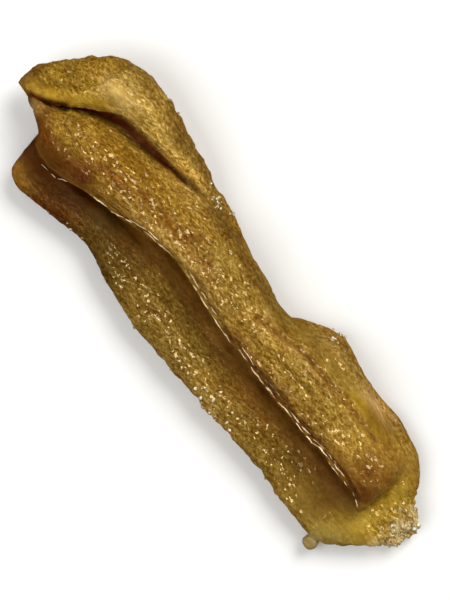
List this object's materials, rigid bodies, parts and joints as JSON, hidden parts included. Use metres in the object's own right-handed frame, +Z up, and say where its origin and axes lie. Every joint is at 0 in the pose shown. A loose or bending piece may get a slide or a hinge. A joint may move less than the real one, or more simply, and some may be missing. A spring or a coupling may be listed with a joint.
{
  "type": "dried banana slice",
  "caption": "Lengthwise slice of dried banana, shrunk and folded, with a thick rounded ridge over a low shelf and a leaf-shaped flap peeling away at one end.",
  "frame": {"origin": "on the surface the slice lies on, under the middle of its bounding box", "axes": "+X along the slice from its blunt end with the flap to its ragged end, +Y across it towards the thick ridge side, +Z up"},
  "size_m": [0.1052, 0.0342, 0.0137],
  "materials": {
    "dried_flesh": "golden brown dried fruit flesh, granular and slightly sticky, with small glints"
  },
  "bodies": {
    "root": {"banana_slice": "dried_flesh"}
  },
  "joints": []
}
